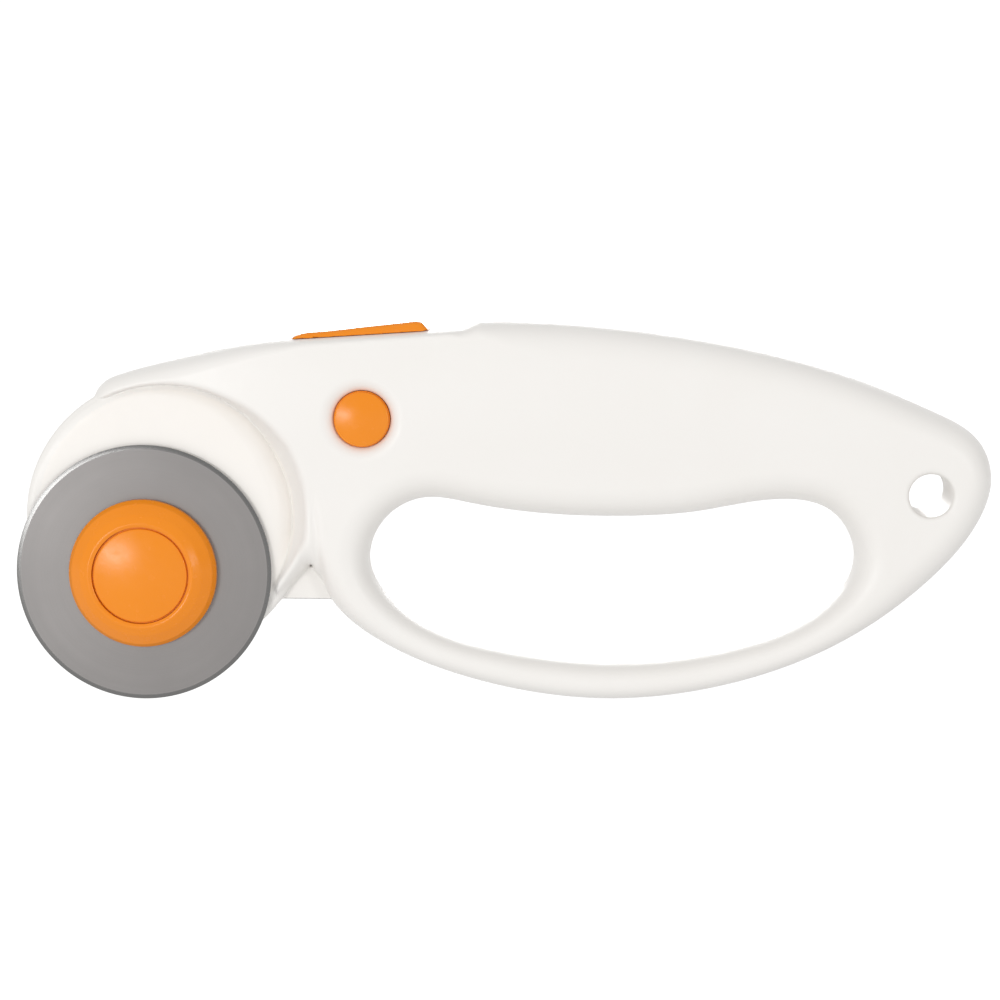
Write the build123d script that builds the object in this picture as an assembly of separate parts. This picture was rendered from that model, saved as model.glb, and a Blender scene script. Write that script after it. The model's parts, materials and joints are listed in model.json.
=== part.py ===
"""Rotary cutter with a closed loop handle and a 60 mm blade, in millimetres.

Frame: +X runs from the blade to the tail, +Y is the direction of the blade's axle, +Z is up.
The front of the tool, where the blade sits, faces -Y. The origin is the bottom centre of
the bounding box: blade edge and loop touch z = 0. Every piece is drawn about the parting
plane of the two shells and moved by PARTING_Y when it is written.
"""

import os
from math import cos, radians, sin

from build123d import *

PARTING_Y = 1.62

# ---- blade, guard and travel --------------------------------------------------------

BLADE_R = 30.0
BLADE_T = 0.4
BLADE_BEVEL = 0.8
BLADE_X = -84.0
BLADE_BACK = -7.0
SPINDLE_R = 4.0
RUNNING = 0.05

GUARD_R = 33.0
GUARD_FACE = 6.0
COVER_FACE = 7.5
GUARD_OFFSET = 13.56

BLADE_TRAVEL = 12.8
BLADE_TRAVEL_ANGLE = 68.36
SLIDER_TRAVEL = 8.0
CHANNEL_ANGLE = 3.9

# ---- shells -------------------------------------------------------------------------

WALL = 2.2
HEAD_WALL = 2.0
EDGE_R = 3.5
COVE_R = 4.3
GUARD_EDGE_R = 1.2
OUTSIDE = 20.0

# Outline of the body in the XZ plane.
NOTCH = (-45.2, 31.6)
BEAK_LOW = (-96.2, 70.3)
BEAK_TOP = (-94.4, 73.9)
BROW = [(-91.5, 75.9), (-73.4, 80.9), (-50.7, 85.4)]
CHANNEL_END = (-10.4, 88.15)
RAMP_TOP = (-5.0, 89.6)
CREST = [
    (22.3, 88.4),
    (50.3, 84.8),
    (78.3, 77.8),
    (100.8, 68.7),
    (110.6, 61.8),
    (114.0, 53.4),
    (112.0, 44.2),
    (101.7, 30.6),
    (79.6, 14.2),
    (51.5, 3.3),
    (23.2, 0.0),
    (-5.3, 3.8),
    (-28.1, 12.6),
    (-40.2, 22.9),
]

# Outline of the finger opening.
OPENING = [
    (-31.2, 32.4),
    (-24.4, 19.9),
    (0.3, 11.4),
    (28.0, 8.9),
    (57.0, 13.6),
    (75.4, 21.2),
    (82.2, 33.6),
    (76.5, 44.6),
    (64.0, 47.3),
    (46.2, 44.9),
    (28.0, 43.5),
    (9.0, 44.0),
    (-8.5, 46.4),
    (-18.5, 47.4),
    (-27.6, 42.4),
]

# Half thickness of the body against height, and its limit against length.
CROWN = [(-4, 7.2), (10, 7.5), (32, 9.3), (50, 9.9), (68, 10.9), (94, 9.7)]
TAPER = [(-120, 4.9), (-96, 6.7), (-84, 8.2), (-70, 9.8), (-54, 10.8), (-36, 11.4), (120, 11.4)]

HANG_HOLE = (99.0, 50.0)
HANG_R = 5.0
HANG_HALF_LENGTH = 9.9
HANG_MOUTH = 1.4
HANG_BOSS_R = 7.4

# Web across the notch between the head and the loop.
WEB = [(-52.5, 23.3), (-39.0, 23.3), (-40.0, 34.0), (-52.0, 34.0)]
FRONT_WEB_DEPTH = 3.0
BACK_WEB_DEPTH = 5.0

# Ribs across the grip and the loop, and the slot for the slider's legs.
RIB_T = 1.6
RIB_Y = (-13.5, -0.5)
GRIP_RIBS_X = (-12, 24, 42, 60)
GRIP_RIB_Z = (44, 90)
LOOP_RIBS_X = (-10, 8, 26, 44, 62)
LOOP_RIB_Z = (-5, 25)
SLOT_X = (-36.3, -17.7)
SLOT_Z = (74, 93)
FRONT_SLOT_DEPTH = 1.9
BACK_SLOT_DEPTH = 4.3

# ---- fasteners ----------------------------------------------------------------------

BAR_GUIDE = (-54.0, 66.0)
SCREWS = [(-54, 66), (-53, 38), (-102, 51), (8, 66), (76, 61), (-38, 33), (91.5, 34)]
BOSS_R = 3.3
BAR_GUIDE_R = 3.0
SEAT_R = 4.3
SEAT_DEPTH = 2.7
PILOT_R = 1.3
PILOT_DEPTH = 4.6
SCREW_R = 1.25
SCREW_HOLE_R = 1.5
HEAD_R = 2.7
HEAD_WELL_R = 2.9
HEAD_SEAT = 3.5
HEAD_T = 1.9
DRIVE_CROSS = (3.2, 0.7)

# The carriage slides between two rails in the front shell, held by screwed keepers.
RAIL_U = (-12, 33)
RAIL_V = (11.05, 14.5)
RAIL_Y = (-4.5, -0.9)
KEEPER_U = (-9, 31)
KEEPER_V = (9.5, 14.5)
KEEPER_Y = (-0.9, -0.1)
KEEPER_SCREWS_U = (-5, 11, 27)
KEEPER_SCREWS_V = (-12.9, 12.9)
KEEPER_SCREW_R = 0.7
KEEPER_HOLE_R = 0.75

# ---- hub, lock and slider -----------------------------------------------------------

HUB_R = 17.4
HUB_BUTTON_R = 10.75
HUB_GAP = 0.12
CARRIER_COLLAR_R = 6.0
SPINDLE_FLANGE_R = 7.0
LOCK = (-32.6, 66.7)
LOCK_R = 6.5
LOCK_BOSS_R = 8.3
LOCK_BOSS_DEPTH = 5.5
COLLAR_R = 3.8
NECK_R = 2.2
CLIP_FOOT_OFFSET = 5.5
CLIP_POST_R = 1.8
CLIP_GROOVES = ((0.05, 0.95), (2.55, 3.45))
DRIVE_PIN_R = 2.0
BAR_BACK = 2.2
BAR_FRONT = 0.2
BAR_R = 5.0
BAR_END_R = 6.8
SLIDER_PIN = (-31.0, 79.5)
SLIDER_PIN_R = 1.2
SLIDER_HALF_WIDTH = 6.0
DETENT_PEG_R = 0.8
DETENT_Z = 58.6
DETENT_STOPS_X = (-58.5, -41.5)
DETENT_STOP_Z = 54.6
DETENT_STOP_R = 1.3

# ---- directions ---------------------------------------------------------------------

TRAVEL = (cos(radians(BLADE_TRAVEL_ANGLE)), sin(radians(BLADE_TRAVEL_ANGLE)))
ACROSS = (TRAVEL[1], -TRAVEL[0])
SLIDE = (cos(radians(CHANNEL_ANGLE)), sin(radians(CHANNEL_ANGLE)))


def go(start, *steps):
    """Move from a point (x, z) by distances along directions."""
    x = start[0] + sum(d * way[0] for d, way in steps)
    z = start[1] + sum(d * way[1] for d, way in steps)
    return (x, z)


BLADE_C = (BLADE_X, BLADE_R)
GUARD_C = go(BLADE_C, (GUARD_OFFSET, TRAVEL))
DRIVE_PIN = go(BLADE_C, (15, TRAVEL), (4, ACROSS))
DRIVE_END = go(DRIVE_PIN, (BLADE_TRAVEL, TRAVEL), (-SLIDER_TRAVEL, SLIDE))


# ---- building blocks ----------------------------------------------------------------


def facing_back(point, y):
    """Sketch plane at depth y with its normal along +Y."""
    return Plane(origin=(point[0], y, point[1]), x_dir=(1, 0, 0), z_dir=(0, 1, 0))


def disc(centre, radius, y0, y1):
    """Cylinder along Y."""
    return extrude(facing_back(centre, y0) * Circle(radius), amount=y1 - y0)


def capsule(start, end, radius, y0, y1):
    """Slot shape between two points (x, z), extruded along Y."""
    run = Vector(end[0] - start[0], 0, end[1] - start[1])
    middle = ((start[0] + end[0]) / 2, y0, (start[1] + end[1]) / 2)
    plane = Plane(origin=middle, x_dir=run, z_dir=(0, 1, 0))
    return extrude(plane * SlotCenterToCenter(run.length, 2 * radius), amount=y1 - y0)


def plate(points, y0, y1):
    """Polygon of points (x, z), extruded along Y."""
    outline = Polyline(*[(x, y0, z) for x, z in points], close=True)
    return extrude(make_face(outline), amount=y1 - y0, dir=(0, 1, 0))


def strip(u0, u1, v0, v1, y0, y1):
    """Rectangle in the blade's travel axes, extruded along Y."""
    corners = [(u0, v0), (u1, v0), (u1, v1), (u0, v1)]
    return plate([go(BLADE_C, (u, TRAVEL), (v, ACROSS)) for u, v in corners], y0, y1)


def turned(profile, centre, rounds=()):
    """Turn a closed profile of points (radius, y) about the Y axis at centre."""
    plane = Plane(origin=(centre[0], 0, centre[1]), x_dir=(1, 0, 0), z_dir=(0, 0, 1))
    sketch = plane * make_face(Polyline(*profile, close=True))
    for index, radius in rounds:
        x, y = profile[index]
        corner = Vector(centre[0] + x, y, centre[1])
        sketch = fillet(sketch.vertices().sort_by_distance(corner)[0], radius)
    axis = Axis((centre[0], 0, centre[1]), (0, 1, 0))
    return revolve(sketch, axis=axis)


def both_ways(solid):
    return mirror(solid, about=Plane.XZ)


# ---- shells -------------------------------------------------------------------------


def body_outline():
    """Side view of the body, without the finger opening and the round head."""
    with BuildSketch(Plane.XZ) as sketch:
        with BuildLine():
            Polyline(NOTCH, (-62, 40), (-88, 60), BEAK_LOW)
            Spline(BEAK_LOW, BEAK_TOP, BROW[0], tangents=[(-0.05, 1), (1, 0.35)])
            Spline(*BROW, tangents=[(1, 0.35), SLIDE])
            Line(BROW[-1], CHANNEL_END)
            Spline(CHANNEL_END, RAMP_TOP, tangents=[SLIDE, (1, 0)])
            Spline(RAMP_TOP, *CREST, tangents=[(1, 0), (-0.72, 1)])
            Line(CREST[-1], NOTCH)
        make_face()
    return sketch.sketch.face()


def opening_outline():
    with BuildSketch(Plane.XZ) as sketch:
        with BuildLine():
            Spline(*OPENING, periodic=True)
        make_face()
    return sketch.sketch.face()


def moved_edge(face, distance):
    """Face with its edge moved in (negative) or out, redrawn with plain splines."""
    edges = []
    for edge in offset(face, amount=distance).edges():
        if edge.geom_type == GeomType.LINE:
            edges.append(Edge.make_line(edge @ 0, edge @ 1))
        else:
            count = max(4, round(edge.length / 6))
            points = [edge @ (i / count) for i in range(count + 1)]
            edges.append(Edge.make_spline(points, tangents=[edge % 0, edge % 1]))
    return Face(Wire(edges))


def thickness_limit(inset):
    """Space in front of the parting plane, as deep as the body is thick there."""
    with BuildSketch(Plane.YZ.offset(-130)) as side:
        with BuildLine():
            rim = [(inset - half, z) for z, half in CROWN]
            Spline(*rim)
            Polyline(rim[-1], (0, rim[-1][1]), (0, rim[0][1]), rim[0])
        make_face()
    with BuildSketch(Plane.XY.offset(-10)) as top:
        with BuildLine():
            rim = [(x, inset - half) for x, half in TAPER]
            Spline(*rim)
            Polyline(rim[-1], (rim[-1][0], 0), (rim[0][0], 0), rim[0])
        make_face()
    return extrude(side.sketch, amount=260) & extrude(top.sketch, amount=120)


def recess(face, cove):
    """Round recess in front of the guard, with a hollow-ground side."""
    floor = (0, -face)
    foot = (GUARD_R, -face)
    middle = (GUARD_R + cove * sin(radians(45)), -face - cove * (1 - cos(radians(45))))
    lip = (GUARD_R + cove, -face - cove)
    edge = [Line(floor, foot), ThreePointArc(foot, middle, lip)]
    edge.append(Polyline(lip, (lip[0], -OUTSIDE), (0, -OUTSIDE), floor))
    plane = Plane(origin=(GUARD_C[0], 0, GUARD_C[1]), x_dir=(1, 0, 0), z_dir=(0, 0, 1))
    axis = Axis((GUARD_C[0], 0, GUARD_C[1]), (0, 1, 0))
    return revolve(plane * make_face(edge), axis=axis)


def outer_form(outline, opening, face, cove):
    """Solid outer form of one half, with its round head set back to depth face."""
    form = extrude(outline, amount=14) - extrude(opening, amount=14)
    form = form & thickness_limit(0)
    form = fillet(form.edges().filter_by(lambda edge: edge.center().Y < -6), EDGE_R)
    rim = [(0, 0), (GUARD_R, 0), (GUARD_R, -face), (0, -face)]
    return form - recess(face, cove) + turned(rim, GUARD_C, [(2, GUARD_EDGE_R)])


def inner_space(outline, opening, face):
    """Hollow of one half, before ribs and bosses are left standing in it."""
    hollow = extrude(moved_edge(outline, -WALL), amount=14, dir=(0, -1, 0))
    hollow = hollow - extrude(moved_edge(opening, WALL), amount=14, dir=(0, -1, 0))
    hollow = hollow & thickness_limit(WALL)
    hollow = hollow - disc(GUARD_C, GUARD_R + COVE_R + WALL, -OUTSIDE, HEAD_WALL - face)
    return hollow + disc(GUARD_C, GUARD_R - HEAD_WALL, HEAD_WALL - face, 0)


def box(x, y, z):
    """Box between two limits on each axis."""
    size = Box(x[1] - x[0], y[1] - y[0], z[1] - z[0])
    return Pos((x[0] + x[1]) / 2, (y[0] + y[1]) / 2, (z[0] + z[1]) / 2) * size


def ribs():
    """Cross ribs of the grip and of the loop."""
    rib_set = Part()
    for places, height in ((GRIP_RIBS_X, GRIP_RIB_Z), (LOOP_RIBS_X, LOOP_RIB_Z)):
        for x in places:
            rib_set += box((x - RIB_T / 2, x + RIB_T / 2), RIB_Y, height)
    return rib_set


def channel_slot(depth):
    """Opening in the top of the body for the slider's legs."""
    return box(SLOT_X, (-depth, 0), SLOT_Z)


def web(depth):
    """Web across the notch, up to the round head."""
    return plate(WEB, -depth, 0) - disc(GUARD_C, GUARD_R - 1, -OUTSIDE, 0)


def kept_bosses():
    """Ribs and bosses that both halves have: round the lock, the hang hole and the screws."""
    keep = ribs() + disc(LOCK, LOCK_BOSS_R, -OUTSIDE, -LOCK_BOSS_DEPTH)
    keep += disc(HANG_HOLE, HANG_BOSS_R, -OUTSIDE, 0)
    for point in SCREWS:
        keep += disc(point, BAR_GUIDE_R if point == BAR_GUIDE else BOSS_R, -OUTSIDE, 0)
    return keep


def make_front_shell(outline, opening):
    keep = kept_bosses() + disc(BAR_GUIDE, BOSS_R, -OUTSIDE, 0)
    for side in (-1, 1):
        keep += strip(*RAIL_U, side * RAIL_V[0], side * RAIL_V[1], *RAIL_Y)
    space = inner_space(outline, opening, GUARD_FACE)
    shell = outer_form(outline, opening, GUARD_FACE, COVE_R) - (space - keep)
    shell += web(FRONT_WEB_DEPTH)

    top = go(BLADE_C, (BLADE_TRAVEL, TRAVEL))
    shell -= capsule(BLADE_C, top, CARRIER_COLLAR_R + RUNNING, -8, -3)
    shell -= disc(LOCK, LOCK_R + RUNNING, -OUTSIDE, 0) + lock_dish()
    shell -= channel_slot(FRONT_SLOT_DEPTH) + hang_hole_cut()
    for point in SCREWS:
        shell -= disc(point, PILOT_R, -PILOT_DEPTH, 0)
    for point in keeper_screw_points():
        shell -= disc(point, KEEPER_HOLE_R, -3.4, 0)
    return shell


def make_back_shell(outline, opening):
    keep = kept_bosses()
    for point in SCREWS:
        keep += disc(point, SEAT_R, -OUTSIDE, -SEAT_DEPTH)
    keep += disc(go(LOCK, (-CLIP_FOOT_OFFSET, (0, 1))), CLIP_POST_R, -OUTSIDE, -2.5)
    for x in DETENT_STOPS_X:
        keep += disc((x, DETENT_STOP_Z), DETENT_STOP_R, -OUTSIDE, 0)
    space = inner_space(outline, opening, COVER_FACE)
    shell = outer_form(outline, opening, COVER_FACE, COVE_R - 0.8) - (space - keep)

    shell += web(BACK_WEB_DEPTH)
    shell -= disc(LOCK, LOCK_R + RUNNING, -OUTSIDE, 0) + lock_dish()
    shell -= channel_slot(BACK_SLOT_DEPTH) + hang_hole_cut()
    for point in SCREWS:
        shell -= disc(point, SCREW_HOLE_R, -OUTSIDE, 0)
        shell -= disc(point, HEAD_WELL_R, -OUTSIDE, -HEAD_SEAT)
    return both_ways(shell)


def lock_dish():
    """Shallow dish round a lock button."""
    rim = [(0, -OUTSIDE), (0, -9.8), (6.6, -9.8), (9.2, -11.1), (9.2, -OUTSIDE)]
    return turned(rim, LOCK)


def hang_hole_cut():
    """Through hole with a rounded mouth."""
    mouth = HANG_HALF_LENGTH - 1.2
    wide = HANG_R + HANG_MOUTH
    profile = [(0, 0), (HANG_R, 0), (HANG_R, -mouth), (HANG_R + 0.35, -mouth - 0.85)]
    profile += [(wide, -HANG_HALF_LENGTH), (wide, -OUTSIDE), (0, -OUTSIDE)]
    return turned(profile, HANG_HOLE)


def make_housing_screws():
    """Cross-head screws, driven from the back."""
    top = HEAD_SEAT + HEAD_T
    head = [(0, top), (HEAD_R, top), (HEAD_R, HEAD_SEAT), (SCREW_R, HEAD_SEAT)]
    shank = [(SCREW_R, -3.8), (0, -4.5)]
    long, short = DRIVE_CROSS
    screws = Part()
    for point in SCREWS:
        screw = turned(head + shank, point, [(1, 0.6)])
        for size in ((short, long), (long, short)):
            screw -= Pos(point[0], top, point[1]) * Box(size[0], 2.2, size[1])
        screws += screw
    return screws


# ---- blade carriage -----------------------------------------------------------------


def keeper_screw_points():
    return [
        go(BLADE_C, (u, TRAVEL), (v, ACROSS)) for u in KEEPER_SCREWS_U for v in KEEPER_SCREWS_V
    ]


def make_carriage_keepers():
    near, far = KEEPER_V
    keepers = strip(*KEEPER_U, near, far, *KEEPER_Y) + strip(*KEEPER_U, -far, -near, *KEEPER_Y)
    countersink = [(0, -1), (KEEPER_HOLE_R, -1), (KEEPER_HOLE_R, -0.75), (1.5, -0.05), (1.5, 0), (0, 0)]
    for point in keeper_screw_points():
        keepers -= turned(countersink, point)
    return keepers


def make_keeper_screws():
    head = [(0, -0.12), (1.4, -0.12), (KEEPER_SCREW_R, -0.8)]
    shank = [(KEEPER_SCREW_R, -3.0), (0, -3.2)]
    screws = Part()
    for point in keeper_screw_points():
        screws += turned(head + shank, point)
    return screws


def make_carrier_plate():
    """Sliding plate with a collar behind the blade and a seat for the spindle's flange."""
    carrier = strip(-11, 20, -11, 11, -3.95, -0.95)
    carrier = fillet(carrier.edges().filter_by(Axis.Y), 3)
    carrier += disc(BLADE_C, CARRIER_COLLAR_R, BLADE_BACK + RUNNING, -3)
    carrier -= disc(BLADE_C, SPINDLE_R + 0.01, -8, 0)
    carrier -= disc(BLADE_C, SPINDLE_FLANGE_R + RUNNING, -2.15, 0)
    return carrier - disc(DRIVE_PIN, DRIVE_PIN_R + 0.01, -5, 0)


def make_spindle():
    flange = [(0, -1), (SPINDLE_FLANGE_R, -1), (SPINDLE_FLANGE_R, -2.13), (SPINDLE_R, -2.13)]
    groove = [(SPINDLE_R, -9.25), (3.3, -9.25), (3.3, -9.9), (SPINDLE_R, -9.9)]
    end = [(SPINDLE_R, -10.4), (0, -10.4)]
    return turned(flange + groove + end, BLADE_C, [(8, 0.3)])


def make_drive_pin():
    return disc(DRIVE_PIN, DRIVE_PIN_R, -3.9, 2.4)


def make_blade():
    bore = SPINDLE_R + RUNNING
    front = BLADE_BACK - BLADE_T
    flat = BLADE_R - BLADE_BEVEL
    middle = BLADE_BACK - BLADE_T / 2
    edge = [(flat, BLADE_BACK), (BLADE_R, middle + 0.02), (BLADE_R, middle - 0.02), (flat, front)]
    return turned([(bore, BLADE_BACK)] + edge + [(bore, front)], BLADE_C)


def make_wave_washer():
    return turned([(4.2, -7.95), (4.2, -7.75), (9.2, -7.45), (9.2, -7.65)], BLADE_C)


def make_hub_ring():
    """Conical ring in front of the blade, with a cup for the button."""
    bore, cup_r = HUB_BUTTON_R + HUB_GAP, 11.6
    back = [(4.05, -8), (9.5, -8), (9.5, -7.6), (HUB_R, -7.6)]
    face = [(HUB_R, -9.4), (16.3, -10.8), (11.9, -13.5), (bore, -13)]
    cup = [(bore, -11.7), (cup_r, -11.7), (cup_r, -9.2), (4.05, -9.2)]
    return turned(back + face + cup, BLADE_C, [(4, 0.8), (5, 1.5), (6, 0.5)])


def make_hub_latch_clip():
    clip = disc(BLADE_C, 6.4, -9.85, -9.3) - disc(BLADE_C, 3.35, -10, -9)
    return clip - Pos(BLADE_X + 5, -9.5, BLADE_R) * Box(8, 2, 4)


def make_hub_spring():
    coil = Helix(pitch=0.8, height=2.0, radius=8.2)
    wire = sweep(Plane(origin=coil @ 0, z_dir=coil % 0) * Circle(0.28), path=coil)
    return Pos(BLADE_X, -9.7, BLADE_R) * Rot(90, 0, 0) * wire


def make_hub_button():
    skirt = [(0, -12.3), (9.4, -12.3), (9.4, -11.2), (11.3, -11.2), (11.3, -11.65)]
    cap = [(HUB_BUTTON_R, -11.65), (HUB_BUTTON_R, -13.5), (5.5, -14.15), (0, -14.3)]
    return turned(skirt + cap, BLADE_C, [(6, 0.6)])


# ---- slider and lock ----------------------------------------------------------------


def make_thumb_slider():
    """Wedge on top of the body, with two legs astride the slide bar."""
    lift = (-SLIDE[1], SLIDE[0])

    def along(t, h):
        return go(BROW[-1], (t, SLIDE), (h, lift))

    front, back, crest = along(1.0, 0.15), along(33.4, 0.15), along(29.6, 2.35)
    with BuildSketch(Plane.XZ.offset(SLIDER_HALF_WIDTH)) as side:
        with BuildLine():
            Line(back, front)
            Spline(front, along(5.6, 1.45), along(14, 2.1), crest)
            Spline(crest, along(30.7, 2.0), back, tangents=[SLIDE, (0.8, -0.7)])
        make_face()
    cap = extrude(side.sketch, amount=-2 * SLIDER_HALF_WIDTH)
    rails = cap.edges().filter_by(lambda edge: abs(edge.center().Y) > SLIDER_HALF_WIDTH - 0.1)
    rails = rails.filter_by(lambda edge: edge.length > 25).sort_by(Axis.Z)[-2:]
    cap = fillet(rails, 0.9)
    leg_back, leg_front, foot = -36, -26, 76.3
    leg = [(leg_back, foot), (leg_front, foot)]
    leg += [(leg_front, along(24, 0)[1] + 0.3), (leg_back, along(16, 0)[1] + 0.3)]
    cap += plate(leg, -1.6, BAR_FRONT - RUNNING) + plate(leg, BAR_BACK + RUNNING, 4)
    return cap - disc(SLIDER_PIN, SLIDER_PIN_R + 0.02, -3, 6)


def make_slider_pin():
    return disc(SLIDER_PIN, SLIDER_PIN_R, -1.6, 4)


def make_slide_bar():
    """Flat bar that carries the slider's motion to the carriage's pin in a slanted slot."""
    guide_end = go(BAR_GUIDE, (-SLIDER_TRAVEL, SLIDE))
    lock_end = go(LOCK, (-SLIDER_TRAVEL, SLIDE))
    bar = capsule(DRIVE_PIN, DRIVE_END, BAR_R, BAR_FRONT, BAR_BACK)
    bar += capsule(DRIVE_END, guide_end, BAR_R, BAR_FRONT, BAR_BACK)
    bar += capsule(guide_end, LOCK, BAR_END_R, BAR_FRONT, BAR_BACK)
    bar += box((-36, -26), (BAR_FRONT, BAR_BACK), (66, 83.5))
    bar -= capsule(DRIVE_PIN, DRIVE_END, DRIVE_PIN_R + RUNNING, -1, 4)
    bar -= capsule(BAR_GUIDE, guide_end, BAR_GUIDE_R + RUNNING, -1, 4)
    bar -= capsule(LOCK, lock_end, NECK_R + 0.2, -1, 4)
    for seat in (LOCK, lock_end):
        bar -= disc(seat, COLLAR_R + 0.1, -1, 4)
    for x in (-50, -58):
        bar -= disc((x, DETENT_Z + 0.15), DETENT_PEG_R + 0.2, -1, 4)
    return bar - disc(SLIDER_PIN, SLIDER_PIN_R + 0.02, -1, 4)


def make_slide_detent_spring():
    """Leaf spring with a peg that snaps into the bar at either end of its travel."""
    middle, ends_z, half_leaf = (-50, 58.2), 56.3, 0.35
    spring = disc((middle[0], DETENT_Z), DETENT_PEG_R, 0.3, 2.1)
    for x in (-59.4, -40.6):
        spring += capsule((x, ends_z), middle, half_leaf, 0.3, 2.1)
    return spring


def make_lock_button_front():
    """Button with a stem that crosses the slide bar and locks it with its wide collar."""
    cap = [(0, -11.5), (4.6, -11.35), (LOCK_R, -10.7), (LOCK_R, -6.5), (COLLAR_R, -6.5)]
    stem = [(COLLAR_R, 0), (NECK_R, 0)]
    for start, end in CLIP_GROOVES:
        stem += [(NECK_R, start), (1.8, start), (1.8, end), (NECK_R, end)]
    return turned(cap + stem + [(NECK_R, 7.5), (0, 7.5)], LOCK, [(2, 0.5)])


def make_lock_button_back():
    bore = NECK_R + 0.01
    profile = [(bore, 5), (LOCK_R, 5), (LOCK_R, 9.6), (0, 9.6), (0, 7.6), (bore, 7.6)]
    return turned(profile, LOCK, [(2, 0.8)])


def make_lock_detent_clip():
    """Open wire loop that grips one of the two grooves of the stem."""
    foot = go(LOCK, (-CLIP_FOOT_OFFSET, (0, 1)))
    head = go(LOCK, (5, (0, 1)))
    clip = capsule(foot, head, 2.75, 2.6, 3.4) - capsule(foot, head, 1.85, 2, 4)
    return clip - Pos(LOCK[0], 3, head[1] + 3) * Box(8, 2, 7)


# ---- parts --------------------------------------------------------------------------


def main():
    os.makedirs("parts", exist_ok=True)
    outline = body_outline()
    opening = opening_outline()
    parts = {
        "front_shell": make_front_shell(outline, opening),
        "back_shell": make_back_shell(outline, opening),
        "housing_screws": make_housing_screws(),
        "carriage_keepers": make_carriage_keepers(),
        "keeper_screws": make_keeper_screws(),
        "carrier_plate": make_carrier_plate(),
        "spindle": make_spindle(),
        "drive_pin": make_drive_pin(),
        "blade": make_blade(),
        "wave_washer": make_wave_washer(),
        "hub_ring": make_hub_ring(),
        "hub_latch_clip": make_hub_latch_clip(),
        "hub_spring": make_hub_spring(),
        "hub_button": make_hub_button(),
        "thumb_slider": make_thumb_slider(),
        "slider_pin": make_slider_pin(),
        "slide_bar": make_slide_bar(),
        "slide_detent_spring": make_slide_detent_spring(),
        "lock_button_front": make_lock_button_front(),
        "lock_button_back": make_lock_button_back(),
        "lock_detent_clip": make_lock_detent_clip(),
    }
    for name, solid in parts.items():
        export_step(Pos(0, PARTING_Y, 0) * solid, f"parts/{name}.step")


if __name__ == "__main__":
    main()
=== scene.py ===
"""Rotary cutter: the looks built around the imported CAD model. Shapes are worked out in millimetres."""

import json
import math

import bmesh
import bpy
import numpy as np
from mathutils import Matrix, Vector
from mathutils.kdtree import KDTree


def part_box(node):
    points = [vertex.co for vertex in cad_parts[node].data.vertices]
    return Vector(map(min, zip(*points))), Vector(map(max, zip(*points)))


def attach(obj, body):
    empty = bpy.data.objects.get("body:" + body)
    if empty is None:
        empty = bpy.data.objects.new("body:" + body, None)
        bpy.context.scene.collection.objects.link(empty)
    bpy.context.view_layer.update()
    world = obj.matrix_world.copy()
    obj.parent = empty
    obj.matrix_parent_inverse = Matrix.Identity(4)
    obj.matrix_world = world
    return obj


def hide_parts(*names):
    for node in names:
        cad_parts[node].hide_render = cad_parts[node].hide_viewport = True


MM = 0.001

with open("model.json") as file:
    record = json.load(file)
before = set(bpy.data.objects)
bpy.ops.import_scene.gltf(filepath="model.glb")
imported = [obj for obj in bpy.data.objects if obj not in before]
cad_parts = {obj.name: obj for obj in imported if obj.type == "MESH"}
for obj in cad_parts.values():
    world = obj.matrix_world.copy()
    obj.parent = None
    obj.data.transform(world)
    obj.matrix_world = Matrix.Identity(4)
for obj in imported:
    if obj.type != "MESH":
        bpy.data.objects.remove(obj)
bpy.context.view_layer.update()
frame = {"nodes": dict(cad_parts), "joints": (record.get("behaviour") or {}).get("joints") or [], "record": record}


def centre_of(node):
    """Middle of a node's box, in millimetres."""
    low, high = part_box(node)
    return (low + high) / 2 / MM


def joint(name):
    return next(j for j in frame["joints"] if j["name"] == name)


# ---- places taken from the frame ------------------------------------------------------

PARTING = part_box("front_shell")[1].y / MM
BLADE = centre_of("blade")
LOCK = centre_of("lock_button_front")
TRAVEL = Vector(joint("carriage_slide")["axis"])
GUARD = BLADE + TRAVEL * 13.56
HANG_HOLE = Vector(frame["record"]["mounts"][0]["pos_m"]) / MM

# ---- driving dimensions ---------------------------------------------------------------

# Heights outwards are measured from the parting plane of the two halves. In pairs that give a
# value for each half, -1 is the front half and 1 the back half.

# Blade.
BLADE_R = 30.0
BEVEL = 0.95
RIM_CLEARANCE = 0.01

# Round head. The front one is a guard behind the blade, the back one covers the carrier.
GUARD_R = 33.0
HEAD_FACE = {-1: 6.0, 1: 7.5}
HEAD_EDGE = 1.6
# Inside this radius the head's face takes a lighter white, painted light for its brighter flat face.
HEAD_PAINTED_LIGHT_R = 30.2

# Groove between the round head and the body, as (direction, size) pairs. Directions are degrees
# about the head's centre, from x towards z. A table's first and last sizes hold beyond its ends.
CREASE_R = [(-60, 29.8), (0, 29.5), (30, 29.5), (50, 30.5), (70, 31.1), (90, 31.4)]
GROOVE_WIDTH = [(30, 5.0), (50, 4.8), (70, 3.8), (85, 3.2), (105, 2.4), (180, 2.0)]
GROOVE_DROP = [
    (-120, 0), (-40, 0.3), (-23, 0.9), (-8, 2.8), (30, 3.1),
    (50, 2.2), (70, 1.5), (90, 1.1), (140, 0.3), (165, 0),
]
GROOVE_BLEND = [(-60, 0.7), (35, 0.6)]
GROOVE_FALL = 2.2
WALL_LEAN = [(-40, 0.5), (0, 0.62), (30, 0.6), (50, 0.38), (65, 0.2), (90, 0.05)]
WALL_BLEND = 1.4

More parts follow.
